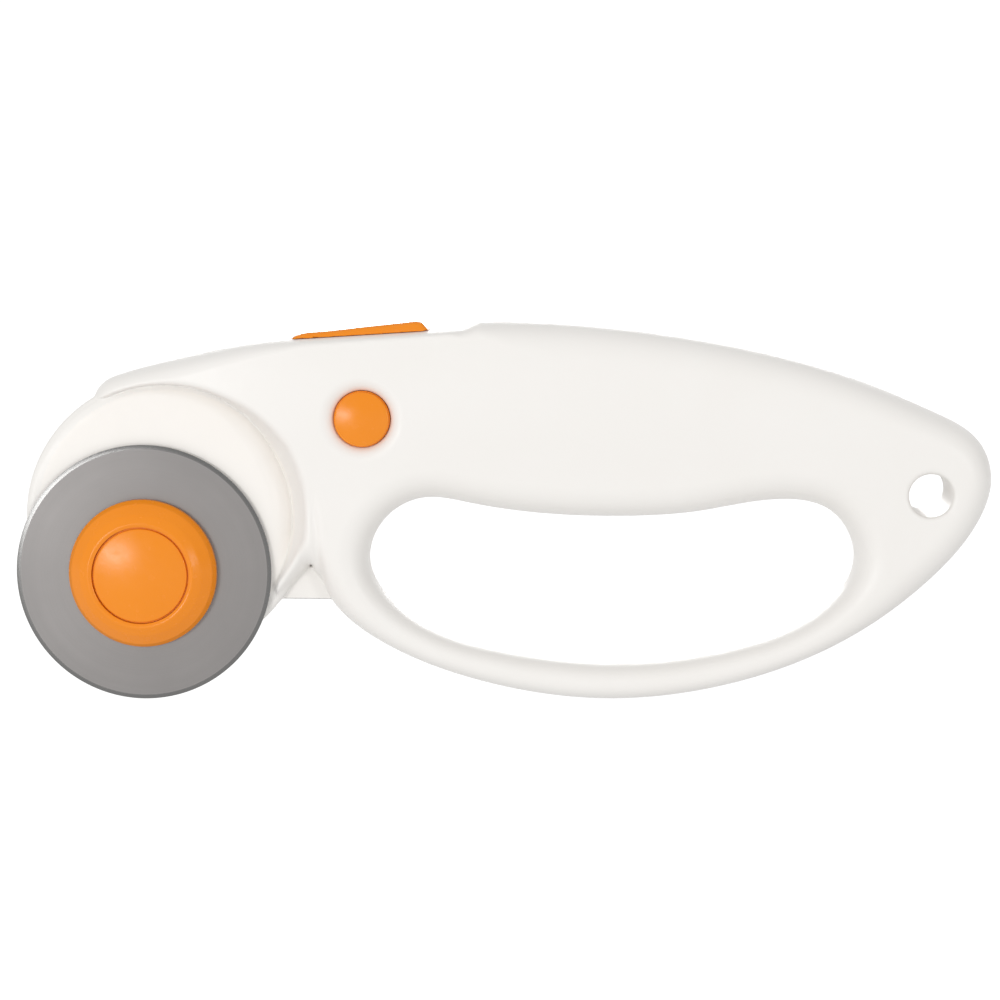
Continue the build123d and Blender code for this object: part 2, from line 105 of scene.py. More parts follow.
# Section of the body. TOP_ROLL gives the rounding at the top edge as (x, width) pairs, and is
# small beside the slider's channel.
SKIN = 1.8
ROLL = 7.5
TOP_ROLL = [
    (-96, 5.0), (-75, 4.6), (-62, 4.0), (-52, 3.0), (-46, 1.8),
    (-12, 1.4), (-5, 3.6), (2, 5.8), (12, ROLL),
]
TOP_ROLL_FROM, TOP_ROLL_FADE = 60, 12
SECTION_POWER = 2.3
OPENING_TRIM = 0.22

# Lock button: the dish around it, the hole for its cap, and the wall kept solid behind the dish.
DISH_R, DISH_SLOPE, DISH_DEPTH = 9.8, 3.2, 1.6
CAP_HOLE_R = 6.62
LOCK_WALL_R, LOCK_WALL_FROM = 8.3, 5.5

# Hole to hang the tool by, and the wall round it.
HANG_R, HANG_WALL_R, HANG_BLEND = 5.0, 7.4, 1.5

# Shallow upright groove in the pillar under the lock: depth, place, lean and where it fades out.
PILLAR_DEPTH, PILLAR_X, PILLAR_Z, PILLAR_LEAN = 0.5, -42.9, 34, 0.1
PILLAR_TOP, PILLAR_FADE = 51, 8

# Web across the notch under the head, and the slot in the roof that the slider's legs pass.
WEB_X, WEB_Z = (-53, -38), (23.3, 31.0)
WEB_REACH = {-1: 1.7, 1: 4.6}
SLOT_X, SLOT_Z = (-36.3, -17.7), (74, 95)
SLOT_REACH = {-1: 1.9, 1: 4.3}
SMALL_BLEND, WEB_BLEND = 0.4, 0.5

# Outline of the body, as (x, z) points. HIDDEN_RUN lies behind the round head.
NOTCH = (-45.2, 31.6)
HIDDEN_RUN = [(-53.0, 22.6), (-62, 40), (-88, 60)]
BEAK_LOW = (-96.2, 70.3)
BEAK_TOP = (-94.4, 73.9)
BROW = [(-91.5, 75.6), (-73.4, 80.5), (-50.7, 84.85)]
CHANNEL_END = (-10.4, 87.6)
RAMP_TOP = (-5.0, 89.3)
CREST = [(22.3, 88.1), (50.3, 84.4), (78.3, 77.5), (100.8, 68.5)]
TIP = [(110.9, 61.9), (113.8, 53.4), (111.5, 44.3), (101.4, 30.8)]
LOOP = [(79.6, 14.35), (51.5, 3.6), (23.2, 0.3), (-5.3, 4.3), (-28.1, 13.1), (-40.2, 23.0)]

# Finger opening: its front end, lower edge, rear end and the grip's underside.
OPENING = [
    (-31.2, 32.4), (-23.7, 20.9),
    (0.3, 11.4), (28.0, 8.9), (57.2, 13.4),
    (74.8, 21.9), (82.2, 33.6), (76.9, 45.0),
    (64.3, 47.8), (46.2, 44.9), (28.0, 43.5), (9.0, 44.0), (-8.5, 46.4), (-18.5, 47.4),
    (-27.6, 42.4),
]

# Half thickness of the body by height and by length.
CROWN = [(-4, 7.2), (10, 7.5), (32, 9.3), (50, 9.9), (68, 10.9), (94, 9.7)]
TAPER = [(-120, 4.9), (-96, 6.7), (-84, 8.2), (-70, 9.8), (-54, 10.8), (-36, 11.4), (120, 11.4)]

# Screws that hold the halves as (x, z), their posts, and the wells in the back for their heads.
SCREWS = [(-54, 66), (-53, 38), (-102, 51), (8, 66), (76, 61), (-38, 33), (91.5, 34)]
POST_R = 3.0
WELL_R, WELL_FROM = 2.9, 3.5
WELL_WALL_R, WELL_WALL_FROM = 4.3, 2.7

# Thumb slider. Its top is given as (distance along the channel, height over it).
SLIDE_RISE = math.radians(3.9)
SLIDE = (math.cos(SLIDE_RISE), math.sin(SLIDE_RISE))
SLIDER_CREST = [(-1, -2.4), (0.9, -0.2), (3.2, 0.85), (8, 1.2), (16, 1.55), (30, 2.2), (36, 2.5)]
SLIDER_REAR = 33.4
SLIDER_REAR_LEAN, SLIDER_REAR_FLATNESS = 0.78, 0.79
SLIDER_HALF_WIDTH = 6.0
SLIDER_CLEARANCE = 0.12
SLIDER_LEGS = 4.5


# ---- curves and outlines --------------------------------------------------------------


def smooth_curve(points, start=None, end=None, closed=False, step=0.15):
    """Points close together on a smooth cubic through the given points."""
    p = np.array(points, float)
    if closed:
        p = np.vstack([p[-5:], p, p[:6]])
    h = np.linalg.norm(np.diff(p, axis=0), axis=1)
    n = len(p)
    matrix, right = np.zeros((n, n)), np.zeros((n, 2))
    for i in range(1, n - 1):
        matrix[i, i - 1 : i + 2] = h[i], 2 * (h[i - 1] + h[i]), h[i - 1]
        before, after = (p[i] - p[i - 1]) / h[i - 1], (p[i + 1] - p[i]) / h[i]
        right[i] = 3 * (h[i] * before + h[i - 1] * after)
    for row, near, way in ((0, 1, start), (n - 1, n - 2, end)):
        matrix[row, row] = 1 if way else 2
        if way:
            right[row] = np.array(way) / np.linalg.norm(way)
        else:
            matrix[row, near] = 1
            right[row] = 3 * (p[max(row, near)] - p[min(row, near)]) / h[min(row, near)]
    slope = np.linalg.solve(matrix, right)
    out = []
    for i in range(5, n - 6) if closed else range(n - 1):
        t = np.linspace(0, 1, max(2, int(h[i] / step)), endpoint=False)[:, None]
        a, b = (2 * t**3 - 3 * t**2 + 1) * p[i], (t**3 - 2 * t**2 + t) * h[i] * slope[i]
        c, d = (3 * t**2 - 2 * t**3) * p[i + 1], (t**3 - t**2) * h[i] * slope[i + 1]
        out.append(a + b + c + d)
    if not closed:
        out.append(p[-1:])
    return np.vstack(out)


def straight(*points, step=0.15):
    """Points close together on straight runs, without the last end."""
    out = []
    for a, b in zip(points[:-1], points[1:]):
        count = max(2, int(math.dist(a, b) / step))
        t = np.linspace(0, 1, count, endpoint=False)[:, None]
        out.append(np.array(a) * (1 - t) + np.array(b) * t)
    return np.vstack(out)


class Outline:
    """A closed line that tells how deep inside it any point (x, z) lies."""

    def __init__(self, points):
        keep = np.linalg.norm(points - np.roll(points, 1, 0), axis=1) > 1e-6
        self.points = points[keep]
        ahead, behind = np.roll(self.points, -1, 0), np.roll(self.points, 1, 0)
        along = ahead - behind
        along /= np.linalg.norm(along, axis=1)[:, None]
        x, z = self.points.T
        area = np.sum(x * ahead[:, 1] - ahead[:, 0] * z)
        self.along = along
        self.inward = np.stack([-along[:, 1], along[:, 0]], 1) * np.sign(area)
        self.tree = KDTree(len(self.points))
        for i, (px, pz) in enumerate(self.points):
            self.tree.insert((px, 0, pz), i)
        self.tree.balance()

    def depth(self, x, z):
        """Depth inside the line, and its rate of change along x and z."""
        find = self.tree.find
        near = np.array([find((a, 0, b))[1] for a, b in zip(x.tolist(), z.tolist())])
        place = np.stack([x, z], 1)
        offset = place - self.points[near]
        run = np.sum(offset * self.along[near], 1)
        other = (near + np.sign(run).astype(int)) % len(self.points)
        gap = np.linalg.norm(self.points[other] - self.points[near], axis=1) + 1e-9
        share = np.clip(np.abs(run) / gap, 0, 1)[:, None]
        foot = self.points[near] * (1 - share) + self.points[other] * share
        normal = self.inward[near] * (1 - share) + self.inward[other] * share
        normal /= np.linalg.norm(normal, axis=1)[:, None]
        offset = place - foot
        size = np.linalg.norm(offset, axis=1) + 1e-9
        lean = np.sum(offset * normal, 1)
        turned = np.abs(lean) < 0.99 * size
        normal[turned] = (offset / size[:, None] * np.sign(lean)[:, None])[turned]
        return np.where(turned, size * np.sign(lean), lean), normal[:, 0], normal[:, 1]


def body_outline():
    """The body seen from its side: head, channel of the slider, crest, tip and loop."""
    runs = [
        straight(NOTCH, *HIDDEN_RUN, BEAK_LOW),
        smooth_curve([BEAK_LOW, BEAK_TOP, BROW[0]], (-0.05, 1), (1, 0.35)),
        smooth_curve(BROW, (1, 0.35), SLIDE),
        straight(BROW[-1], CHANNEL_END),
        smooth_curve([CHANNEL_END, RAMP_TOP], SLIDE, (1, 0)),
        smooth_curve([RAMP_TOP, *CREST, *TIP, *LOOP], (1, 0), (-0.72, 1)),
        straight(LOOP[-1], NOTCH),
    ]
    return Outline(np.vstack(runs))


BODY = body_outline()
HAND = Outline(smooth_curve(OPENING, closed=True))
CROWN_LINE = smooth_curve(CROWN)
TAPER_LINE = smooth_curve(TAPER)
SLIDER_TOP = smooth_curve(SLIDER_CREST)

# ---- solids as fields: positive inside, in millimetres --------------------------------


def read(table, place):
    """Value of a table of (place, value) pairs."""
    return np.interp(place, *zip(*table))


def soft_min(p, q, k):
    """Lesser of two fields, with the corner between them rounded over a width k."""
    share = np.clip(0.5 + 0.5 * (q - p) / k, 0, 1)
    return q * (1 - share) + p * share - k * share * (1 - share)


def soft_max(p, q, k):
    """Greater of two fields, with the corner between them filled over a width k."""
    return -soft_min(-p, -q, k)


def half_thickness(x, z):
    """Half of the body's thickness, the lesser of what its height and its length give."""
    by_height = np.interp(z, *CROWN_LINE.T)
    by_length = np.interp(x, *TAPER_LINE.T)
    return soft_min(by_height, by_length, 0.8)


def radius_about(place, x, z):
    """Distance from an axis along y. The place is (x, z) or (x, y, z)."""
    return np.hypot(x - place[0], z - place[-1])


def turn_about_head(x, z):
    """Direction from the round head's centre, in degrees."""
    return np.degrees(np.arctan2(z - GUARD.z, x - GUARD.x))


def box_field(x, y, z, low, high):
    """Box between two corners."""
    sides = [x - low[0], high[0] - x, y - low[1], high[1] - y, z - low[2], high[2] - z]
    return np.minimum.reduce(sides)


def tube_field(x, y, z, place, radius, start):
    """Cylinder about place, from a height outwards."""
    return np.minimum(radius - radius_about(place, x, z), y - start)


def body_field(x, y, z, edge, hand):
    """Rolled body: full thickness inside, rounded over towards both its edges."""
    hand = hand + OPENING_TRIM
    high = np.clip((z - TOP_ROLL_FROM) / TOP_ROLL_FADE, 0, 1)
    widest = ROLL + (read(TOP_ROLL, x) - ROLL) * high
    roll = np.maximum(soft_min(widest, (edge - hand) / 2, 1.5), 1.0)
    half = half_thickness(x, z)
    away = np.maximum(0, 1 - soft_min(edge, -hand, 1.0) / roll)
    out = np.abs(y) / half
    power = SECTION_POWER
    size = np.maximum((away**power + out**power) ** (1 / power), 0.02)
    steep = np.hypot(away ** (power - 1) / roll, out ** (power - 1) / half) / size ** (power - 1)
    return (1 - size) / np.maximum(steep, 0.04)


def recess_field(x, y, z, face):
    """Space left by the round recess over the head, with a steep wall on the body's side."""
    r = radius_about(GUARD, x, z)
    turn = turn_about_head(x, z)
    lean = read(WALL_LEAN, turn)
    crease = read(CREASE_R, turn)
    drop = read(GROOVE_DROP, turn)
    return (r - crease - (y - face + drop) * lean) / np.sqrt(1 + lean**2)


def head_field(x, y, z, face):
    """Round head: a flat face that sinks to a groove where it meets the body."""
    r = radius_about(GUARD, x, z)
    turn = turn_about_head(x, z)
    width = read(GROOVE_WIDTH, turn)
    drop = read(GROOVE_DROP, turn)
    crease = read(CREASE_R, turn)
    top = face - drop * np.clip((r - crease) / width + 1, 0, 1.3) ** GROOVE_FALL
    across, deep = GUARD_R - r, top - y
    beyond, below = np.maximum(HEAD_EDGE - across, 0), np.maximum(HEAD_EDGE - deep, 0)
    corner = HEAD_EDGE - np.hypot(beyond, below)
    return np.minimum(np.minimum(across, deep), corner)


def pillar_groove(x, z):
    """Depth of the upright groove in the pillar."""
    aside = x - PILLAR_X + PILLAR_LEAN * (z - PILLAR_Z)
    return PILLAR_DEPTH * np.exp(-(aside**2)) * np.clip((PILLAR_TOP - z) / PILLAR_FADE, 0, 1)


def shell_field(side):
    """Field of one half of the handle. y counts from the parting plane outwards."""
    face = HEAD_FACE[side]

    def skin(x, y, z, edge, hand):
        """The outside: the body with its dish and grooves, and the round head."""
        lock_r = radius_about(LOCK, x, z)
        outer = body_field(x, y, z, edge, hand)
        outer = outer - DISH_DEPTH * np.clip((DISH_R - lock_r) / DISH_SLOPE, 0, 1) ** 2
        outer = outer - pillar_groove(x, z)
        outer = soft_min(outer, recess_field(x, y, z, face), WALL_BLEND)
        blend = read(GROOVE_BLEND, turn_about_head(x, z))
        return soft_max(outer, head_field(x, y, z, face), blend)

    def supports(x, y, z):
        """What stays solid inside the hollow."""
        keep = tube_field(x, y, z, LOCK, LOCK_WALL_R, LOCK_WALL_FROM)
        keep = np.maximum(keep, HANG_WALL_R - radius_about(HANG_HOLE, x, z))
        for place in SCREWS:
            keep = np.maximum(keep, POST_R - radius_about(place, x, z))
            if side > 0:
                keep = np.maximum(keep, tube_field(x, y, z, place, WELL_WALL_R, WELL_WALL_FROM))
        return keep

    def field(x, y, z, edge, hand):
        outer = skin(x, y, z, edge, hand)
        solid = np.minimum(outer, np.maximum(SKIN - outer, supports(x, y, z)))
        web_low, web_high = zip(WEB_X, (-1, WEB_REACH[side]), WEB_Z)
        solid = soft_max(solid, box_field(x, y, z, web_low, web_high), WEB_BLEND)
        if side > 0:
            for place in SCREWS:
                well = np.maximum(radius_about(place, x, z) - WELL_R, WELL_FROM - y)
                solid = soft_min(solid, well, SMALL_BLEND)
        solid = soft_min(solid, radius_about(LOCK, x, z) - CAP_HOLE_R, SMALL_BLEND)
        solid = soft_min(solid, radius_about(HANG_HOLE, x, z) - HANG_R, HANG_BLEND)
        slot_low, slot_high = zip(SLOT_X, (-1, SLOT_REACH[side]), SLOT_Z)
        return np.minimum(solid, -box_field(x, y, z, slot_low, slot_high))

    return field


def slider_field(x, y, z, edge, hand):
    """Thumb slider: a wedge on the channel, its legs reaching down to the slide bar."""
    start_x, start_z = BROW[-1]
    along = (x - start_x) * SLIDE[0] + (z - start_z) * SLIDE[1]
    lift = (z - start_z) * SLIDE[0] - (x - start_x) * SLIDE[1]
    top = np.interp(along, *SLIDER_TOP.T) - lift
    rear = ((SLIDER_REAR - along) - lift * SLIDER_REAR_LEAN) * SLIDER_REAR_FLATNESS
    wide = SLIDER_HALF_WIDTH - np.abs(y)
    cap = soft_min(soft_min(top, rear, 1.1), wide, 1.8)
    cap = np.minimum(cap, -body_field(x, y, z, edge, hand) - SLIDER_CLEARANCE)
    return np.minimum(cap, lift + SLIDER_LEGS)


# ---- meshes from fields ---------------------------------------------------------------


def evaluate(field, points, nudge=0.02):
    """Field and its slope at points, given as (x, y outwards, z)."""
    x, y, z = points.T
    edge, edge_x, edge_z = BODY.depth(x, z)
    hand, hand_x, hand_z = HAND.depth(x, z)
    value = field(x, y, z, edge, hand)
    slope = np.zeros_like(points)
    for axis in range(3):
        dx, dy, dz = (nudge if axis == a else 0 for a in range(3))
        edge_step, hand_step = dx * edge_x + dz * edge_z, dx * hand_x + dz * hand_z
        ahead = field(x + dx, y + dy, z + dz, edge + edge_step, hand + hand_step)
        behind = field(x - dx, y - dy, z - dz, edge - edge_step, hand - hand_step)
        slope[:, axis] = (ahead - behind) / (2 * nudge)
    return value, slope


def skin_of(values, axes):
    """Quads around the positive part of a grid of values, one point in each mixed cell."""
    shape = values.shape
    cells = tuple(n - 1 for n in shape)
    total = np.zeros((int(np.prod(cells)), 3))
    count = np.zeros(int(np.prod(cells)))
    quads = []
    for axis in range(3):
        u, v = (axis + 1) % 3, (axis + 2) % 3
        low = tuple(slice(0, -1) if a == axis else slice(None) for a in range(3))
        high = tuple(slice(1, None) if a == axis else slice(None) for a in range(3))
        first, second = values[low], values[high]
        index = np.argwhere((first > 0) != (second > 0))
        here = first[tuple(index.T)]
        there = second[tuple(index.T)]
        t = here / (here - there)
        spot = np.stack([axes[a][index[:, a]] for a in range(3)], 1)
        spot[:, axis] += t * (axes[axis][index[:, axis] + 1] - axes[axis][index[:, axis]])
        corners, fine = [], np.ones(len(index), bool)
        for du, dv in ((-1, -1), (0, -1), (0, 0), (-1, 0)):
            cell = index.copy()
            cell[:, u] += du
            cell[:, v] += dv
            inside = np.all((cell >= 0) & (cell < np.array(cells)), 1)
            flat = np.ravel_multi_index(np.clip(cell, 0, np.array(cells) - 1).T, cells)
            for a in range(3):
                total[:, a] += np.bincount(flat[inside], spot[inside, a], len(count))
            count += np.bincount(flat[inside], minlength=len(count))
            fine &= inside
            corners.append(flat)
        quad = np.stack(corners, 1)
        quad[here <= 0] = quad[here <= 0, ::-1]
        quads.append(quad[fine])
    used = np.flatnonzero(count)
    place = np.full(len(count), -1)
    place[used] = np.arange(len(used))
    return total[used] / count[used, None], place[np.vstack(quads)]


def build_mesh(name, points, faces, normals=None):
    """Smooth-shaded object from points in millimetres."""
    mesh = bpy.data.meshes.new(name)
    mesh.from_pydata((points * MM).tolist(), [], faces.tolist())
    mesh.polygons.foreach_set("use_smooth", [True] * len(mesh.polygons))
    if normals is not None:
        mesh.normals_split_custom_set_from_vertices(normals.tolist())
    piece = bpy.data.objects.new(name, mesh)
    bpy.context.scene.collection.objects.link(piece)
    return piece


def spaced(stops):
    """Grid line places from (position, step after it) pairs."""
    out = []
    for (start, step), (end, _) in zip(stops[:-1], stops[1:]):
        out.append(np.arange(start, end - step * 0.01, step))
    return np.concatenate(out + [[stops[-1][0]]])


def step_to_skin(value, slope):
    """Move that takes points to where a field is zero, a quarter millimetre at most."""
    steep = np.maximum(np.sum(slope**2, 1), 0.2)
    step = -value[:, None] * slope / steep[:, None]
    size = np.linalg.norm(step, axis=1)[:, None] + 1e-9
    return step * np.minimum(1, 0.25 / size)


def mesh_points(field, xs, ys, zs):
    """Points and quads of a field's skin over a grid, the points moved onto the skin."""
    grid_x, grid_z = (g.ravel() for g in np.meshgrid(xs, zs, indexing="ij"))
    edge = BODY.depth(grid_x, grid_z)[0].reshape(len(xs), 1, len(zs))
    hand = HAND.depth(grid_x, grid_z)[0].reshape(len(xs), 1, len(zs))
    x, y, z = np.meshgrid(xs, ys, zs, indexing="ij")
    values = field(x, y, z, edge + x * 0, hand + x * 0)
    points, faces = skin_of(values, (xs, ys, zs))
    for _ in range(3):
        points = points + step_to_skin(*evaluate(field, points))
    return points, faces


def unit(vectors):
    """The same directions with a length of one."""
    return vectors / (np.linalg.norm(vectors, axis=1)[:, None] + 1e-9)


def half_from_field(name, field, side, xs, ys, zs):
    """Mesh of a field in the half on one side of the parting plane, flat and sharp there."""
    near_plane, near_edge, off_edge = 0.24, 0.35, 0.1

    def closed(x, y, z, edge, hand):
        return np.minimum(field(x, y, z, edge, hand), y)

    points, faces = mesh_points(closed, xs, ys, zs)
    low = points[:, 1] < near_plane
    rim = points[low]
    rim[:, 1] = 0
    for _ in range(3):
        value, slope = evaluate(field, rim)
        slope[:, 1] = 0
        move = step_to_skin(value, slope)
        move[np.abs(value) > near_edge] = 0
        rim = rim + move
    points[low] = rim
    value, slope = evaluate(field, points)
    normals = -slope
    normals[low & (np.abs(value) > off_edge)] = 0, -1, 0
    normals = unit(normals)
    points[:, 1] = PARTING + side * points[:, 1]
    normals[:, 1] *= side
    if side < 0:
        faces = faces[:, ::-1]
    return build_mesh(name, points, faces, normals)


def rounded(profile, radii, count=6):
    """Profile (radius, y) with some of its corners turned into arcs."""
    out = []
    for i, corner in enumerate(profile):
        here = Vector(corner)
        if i not in radii:
            out.append(tuple(here))
            continue
        before = (Vector(profile[i - 1]) - here).normalized()
        after = (Vector(profile[(i + 1) % len(profile)]) - here).normalized()
        half = before.angle(after) / 2
        reach = radii[i] / math.tan(half)
        middle = here + (before + after).normalized() * (radii[i] / math.sin(half))
        start = (here + before * reach - middle).normalized()
        end = (here + after * reach - middle).normalized()
        for k in range(count + 1):
            out.append(tuple(middle + start.slerp(end, k / count) * radii[i]))
    return out


def turned(name, profile, place, segments=256):
    """Closed profile (radius, y from the parting plane) turned about the Y axis at place."""
    points, faces = [], []
    count = len(profile)
    for i in range(segments):
        turn = 2 * math.pi * i / segments
        for r, y in profile:
            spot = (place[0] + r * math.cos(turn), PARTING + y, place[2] + r * math.sin(turn))
            points.append(spot)
    for i in range(segments):
        a, b = i * count, (i + 1) % segments * count
        for k in range(count):
            n = (k + 1) % count
            faces.append((a + k, b + k, b + n, a + n))
    piece = build_mesh(name, np.array(points), np.array(faces))
    tidy(piece)
    return piece


def tidy(piece, angle=32):
    """Join points on the axis, face everything outwards and keep hard edges hard."""
    bm = bmesh.new()
    bm.from_mesh(piece.data)
    bmesh.ops.remove_doubles(bm, verts=bm.verts, dist=1e-7)
    bmesh.ops.dissolve_degenerate(bm, edges=bm.edges, dist=1e-7)
    bmesh.ops.recalc_face_normals(bm, faces=bm.faces)
    for edge in bm.edges:
        edge.smooth = len(edge.link_faces) == 2 and edge.calc_face_angle(0) < math.radians(angle)
    bm.to_mesh(piece.data)
    bm.free()


# ---- halves of the handle -------------------------------------------------------------

SHELL_X = spaced([(-113.2, 0.45), (-70, 0.4), (-20, 0.6), (90, 0.5), (116, None)])
SHELL_Y = spaced([(-0.7, 0.45), (12.4, None)])
SHELL_Z = spaced([(-1.1, 0.5), (91.5, None)])


def make_half(name, side):
    """Half of the handle, with a lighter white on the face of its round head: painted light for that brighter flat
    face.
    """
    half = half_from_field(name, shell_field(side), side, SHELL_X, SHELL_Y, SHELL_Z)
    for face in half.data.polygons:
        middle = face.center / MM
        face.material_index = int(radius_about(GUARD, middle.x, middle.z) < HEAD_PAINTED_LIGHT_R)
    return half


def make_front():
    return make_half("front_half", -1)


def make_back():
    return make_half("back_half", 1)


# ---- buttons, hub and blade -----------------------------------------------------------

BORE_R = 4.05
LOCK_SEGMENTS = 160
BLADE_SEGMENTS = 512
SLIDER_X = spaced([(-50.6, 0.3), (-15.5, None)])
SLIDER_Y = spaced([(-0.4, 0.3), (6.8, None)])
SLIDER_Z = spaced([(78, 0.3), (91.5, None)])


def make_slider():
    """Thumb slider, on a grid that is the same on both sides of the parting plane."""
    both_ways = np.concatenate([-SLIDER_Y[::-1][:-1], SLIDER_Y[1:]])
    points, faces = mesh_points(slider_field, SLIDER_X, both_ways, SLIDER_Z)
    normals = unit(-evaluate(slider_field, points)[1])
    points[:, 1] += PARTING
    return build_mesh("thumb_slider_cap", points, faces, normals)


def make_hub_ring():
    """Ring that holds the blade, with a cup for the button in its face."""
    back = [(BORE_R, -8.0), (9.5, -8.0), (9.5, -7.6), (17.35, -7.6), (17.35, -9.2)]
    face = [(16.5, -10.6), (14.2, -12.4), (12.2, -13.5), (11.32, -13.15)]
    cup = [(11.32, -11.7), (11.6, -11.7), (11.6, -9.2), (BORE_R, -9.2)]
    radii = {3: 0.15, 4: 0.8, 5: 1.2, 6: 4.0, 7: 0.9, 8: 0.15}
    return turned("hub_ring_moulding", rounded(back + face + cup, radii), BLADE)


def dome(radius, rim, rise, count=20):
    """Points (radius, y) of a shallow dome, from the axis out to its rim."""
    return [(radius * t, rim - rise * (1 - t * t)) for t in np.linspace(0, 1, count)]


def make_hub_button():
    """Domed button with a flange that stays behind the ring's lip."""
    cap = dome(10.97, -13.05, 1.15)
    flange = [(10.97, -12.35), (11.25, -12.35), (11.25, -11.2)]
    hollow = [(9.4, -11.2), (9.4, -12.0), (0.0, -12.0)]
    return turned("hub_button_cap", rounded(cap + flange + hollow, {len(cap) - 1: 0.3}), BLADE)


def make_lock_button():
    """Front cap of the lock, with the post that runs through to the back cap."""
    cap = dome(6.3, -10.65, 0.85)
    flange = [(6.3, -9.5), (6.54, -9.5), (6.54, -6.5)]
    post = [(3.8, -6.5), (3.8, 0.0), (2.2, 0.0), (2.2, 7.5), (0.0, 7.5)]
    profile = rounded(cap + flange + post, {len(cap) - 1: 0.35})
    return turned("lock_button_cap", profile, LOCK, LOCK_SEGMENTS)


def make_lock_back():
    """Back cap of the lock, open where the post's end fits."""
    profile = [(2.21, 5.0), (6.42, 5.0), (6.42, 9.6), (0.0, 9.6), (0.0, 7.6), (2.21, 7.6)]
    return turned("lock_button_back_cap", rounded(profile, {2: 0.9}), LOCK, LOCK_SEGMENTS)


def make_blade():
    """Thin disc with a ground edge, which has the second material: a darker steel whose colour is painted shade on
    the bevel.
    """
    flat, rim = BLADE_R - BEVEL, BLADE_R - RIM_CLEARANCE
    back = [(BORE_R, -7.0), (flat, -7.0), (rim, -7.18)]
    front = [(rim, -7.22), (flat, -7.4), (BORE_R, -7.4)]
    blade = turned("round_blade", back + front, BLADE, BLADE_SEGMENTS)
    for face in blade.data.polygons:
        middle = face.center / MM
        face.material_index = int(radius_about(BLADE, middle.x, middle.z) > flat)
    return blade


# ---- materials ------------------------------------------------------------------------


class Look:
    """A Principled material, with short ways to add procedural detail."""

    def __init__(self, name, color, rough, metallic=0.0, **inputs):
        self.material = bpy.data.materials.new(name)
        self.material.use_nodes = True
        self.nodes, self.links = self.material.node_tree.nodes, self.material.node_tree.links
        self.shader = self.nodes["Principled BSDF"]
        self.shader.inputs["Base Color"].default_value = (*color, 1)
        self.shader.inputs["Roughness"].default_value = rough
        self.shader.inputs["Metallic"].default_value = metallic
        for socket, value in inputs.items():
            self.shader.inputs[socket.replace("_", " ")].default_value = value
        self.place = self.nodes.new("ShaderNodeTexCoord").outputs["Object"]

    def node(self, kind, inputs=(), **settings):
        made = self.nodes.new("ShaderNode" + kind)
        for name, value in settings.items():
            setattr(made, name, value)
        for socket, value in dict(inputs).items():
            if isinstance(value, bpy.types.NodeSocket):
                self.links.new(value, made.inputs[socket])
            else:
                made.inputs[socket].default_value = value
        return made

    def noise(self, scale, detail=3.0, vector=None, **inputs):
        inputs = {"Vector": vector or self.place, "Scale": scale, "Detail": detail, **inputs}
        return self.node("TexNoise", inputs).outputs["Fac"]

    def spread(self, value, low, high):
        """Turn a 0 to 1 pattern into low to high, from the middle half of its range."""
        inputs = {"Value": value, "From Min": 0.3, "From Max": 0.7, "To Min": low, "To Max": high}
        return self.node("MapRange", inputs).outputs["Result"]

    def mix(self, share, first, second):
        made = self.node("Mix", data_type="RGBA")
        for socket, value in (("Factor_Float", share), ("A_Color", first), ("B_Color", second)):
            target = next(i for i in made.inputs if i.identifier == socket)
            if isinstance(value, bpy.types.NodeSocket):
                self.links.new(value, target)
            else:
                target.default_value = value
        return next(o for o in made.outputs if o.identifier == "Result_Color")

    def rough(self, value):
        self.links.new(value, self.shader.inputs["Roughness"])

    def color(self, value):
        self.links.new(value, self.shader.inputs["Base Color"])

    def bump(self, height, strength, distance):
        inputs = {"Height": height, "Strength": strength, "Distance": distance}
        bump = self.node("Bump", inputs).outputs["Normal"]
        self.links.new(bump, self.shader.inputs["Normal"])


def moulded_plastic(name, color, deep, rough, grain, **inputs):
    """Satin injection-moulded plastic: fine spark texture, faint flow mottling, light handling wear."""
    look = Look(name, color, rough, **inputs)
    flow = look.noise(38, 3, Distortion=0.6)
    look.color(look.mix(look.spread(flow, 0.0, 1.0), (*color, 1), (*deep, 1)))
    wear = look.noise(420, 4)
    look.rough(look.spread(wear, rough - 0.05, rough + 0.06))
    grains = look.node("TexVoronoi", {"Vector": look.place, "Scale": grain}).outputs["Distance"]
    fine = look.noise(grain * 1.7, 2)
    height = look.node("Math", {0: grains, 1: fine}, operation="ADD").outputs["Value"]
    look.bump(height, 0.16, 0.00004)
    return look.material


def ground_steel(name, color, rough, centre, grain):
    """Steel ground in rings about an axle, with faint spots of oil."""
    look = Look(name, color, rough, 1.0)
    offset = look.node("VectorMath", {0: look.place, 1: centre}, operation="SUBTRACT").outputs["Vector"]
    apart = look.node("SeparateXYZ", {"Vector": offset})
    flat = look.node("CombineXYZ", {"X": apart.outputs["X"], "Y": apart.outputs["Z"]}).outputs["Vector"]
    radius = look.node("VectorMath", {0: flat}, operation="LENGTH").outputs["Value"]
    ring = look.node("CombineXYZ", {"X": radius}).outputs["Vector"]
    rings = look.noise(9000, 2, vector=ring)
    bands = look.noise(420, 2, vector=ring)
    oil = look.noise(45, 3)
    look.bump(look.node("Math", {0: rings, 1: bands}, operation="ADD").outputs["Value"], grain, 0.00002)
    look.rough(look.spread(rings, rough - 0.06, rough + 0.08))
    light, dark = tuple(c * 1.04 for c in color), tuple(c * 0.90 for c in color)
    stained = look.mix(look.spread(oil, 0.1, 0.9), (*light, 1), (*dark, 1))
    look.color(look.mix(look.spread(bands, 0.0, 0.5), stained, (*dark, 1)))
    return look.material


